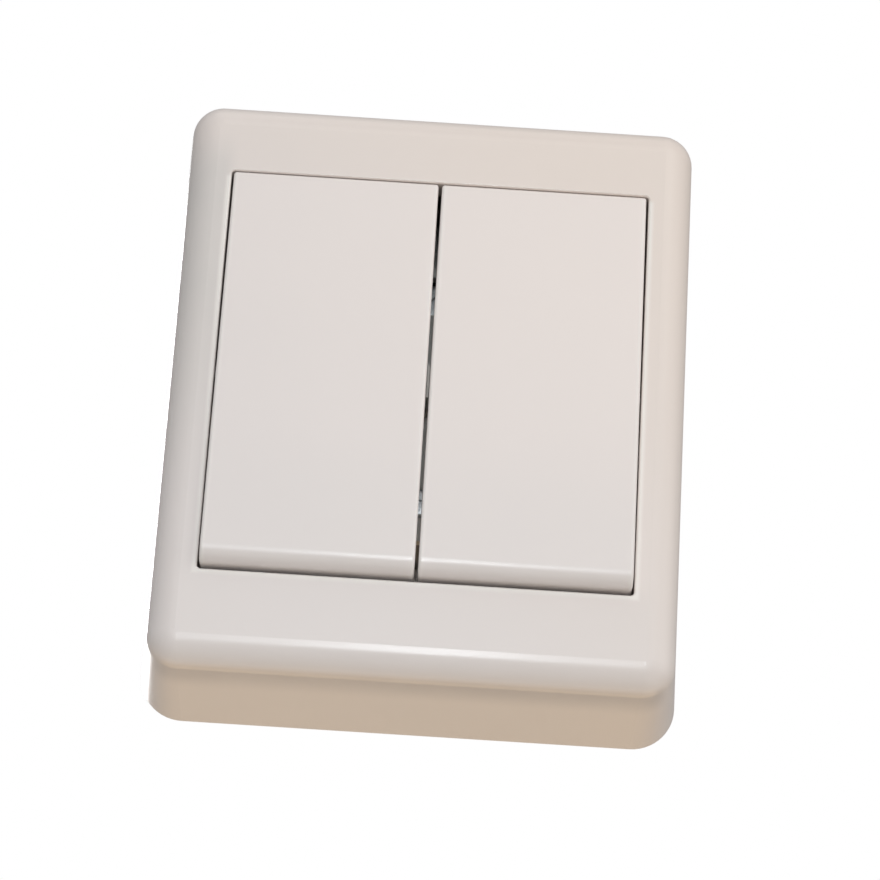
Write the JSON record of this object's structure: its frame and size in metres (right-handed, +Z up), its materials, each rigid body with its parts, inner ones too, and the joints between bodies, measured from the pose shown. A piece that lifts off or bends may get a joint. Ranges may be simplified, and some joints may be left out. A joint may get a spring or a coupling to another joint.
{
  "type": "wall switch",
  "caption": "Surface-mounted rocker wall switch with paired rockers, a clip-on cover and a see-saw contact mechanism behind each rocker.",
  "frame": {"origin": "centre of the back plate's back face, on the wall plane", "axes": "+X to the right, +Z up as installed, -Y out of the wall towards the room"},
  "size_m": [0.085, 0.0293, 0.099],
  "materials": {
    "cover_plastic": "glossy, warm white",
    "rocker_plastic": "glossy, warm white",
    "base_plastic": "fine texture, grey white",
    "mechanism_plastic": "satin, dark grey",
    "brass": "stamped, satin",
    "silver": "silver, fine",
    "steel": "zinc plated"
  },
  "bodies": {
    "switch_base": {"cover_frame": "cover_plastic", "back_plate": "base_plastic", "mechanism_housing": "mechanism_plastic", "bearing_lid": "mechanism_plastic", "common_strip": "brass", "lid_screws": "steel", "housing_screws": "steel", "common_clamp": "brass", "common_clamp_screw": "steel", "left_clamp": "brass", "left_clamp_screw": "steel", "right_clamp": "brass", "right_clamp_screw": "steel", "left_fixed_contact": "silver", "left_outgoing_strip": "brass", "right_fixed_contact": "silver", "right_outgoing_strip": "brass"},
    "left_rocker_body": {"left_rocker": "rocker_plastic", "left_cradle": "base_plastic", "left_spring": "steel"},
    "left_plunger_body": {"left_plunger": "base_plastic"},
    "left_bridge_body": {"left_contact_bridge": "brass", "left_moving_contact": "silver"},
    "right_rocker_body": {"right_rocker": "rocker_plastic", "right_cradle": "base_plastic", "right_spring": "steel"},
    "right_plunger_body": {"right_plunger": "base_plastic"},
    "right_bridge_body": {"right_contact_bridge": "brass", "right_moving_contact": "silver"}
  },
  "joints": [
    {"name": "left_rocker_hinge", "type": "hinge", "parent": "switch_base", "child": "left_rocker_body", "pos_m": [-0.01671, -0.0214, 0.0012], "axis": [1, 0, 0], "range_deg": [0, 5.2]},
    {"name": "left_plunger_slide", "type": "slide", "parent": "left_rocker_body", "child": "left_plunger_body", "axis": [0, -0.999, 0.0454], "range_m": [0, 0.0008], "stiffness_N_per_m": 400, "springref_m": -0.002, "deforming": ["left_spring"]},
    {"name": "left_bridge_hinge", "type": "hinge", "parent": "switch_base", "child": "left_bridge_body", "pos_m": [-0.01671, -0.01006, 0.0012], "axis": [1, 0, 0], "range_deg": [-20, 0]},
    {"name": "right_rocker_hinge", "type": "hinge", "parent": "switch_base", "child": "right_rocker_body", "pos_m": [0.01671, -0.0214, 0.0012], "axis": [1, 0, 0], "range_deg": [0, 5.2]},
    {"name": "right_plunger_slide", "type": "slide", "parent": "right_rocker_body", "child": "right_plunger_body", "axis": [0, -0.999, 0.0454], "range_m": [0, 0.0008], "stiffness_N_per_m": 400, "springref_m": -0.002, "deforming": ["right_spring"]},
    {"name": "right_bridge_hinge", "type": "hinge", "parent": "switch_base", "child": "right_bridge_body", "pos_m": [0.01671, -0.01006, 0.0012], "axis": [1, 0, 0], "range_deg": [-20, 0]}
  ],
  "couplings": [
    {"joint": "left_bridge_hinge", "follows": "left_rocker_hinge", "ratio": -3.8462},
    {"joint": "right_bridge_hinge", "follows": "right_rocker_hinge", "ratio": -3.8462}
  ]
}
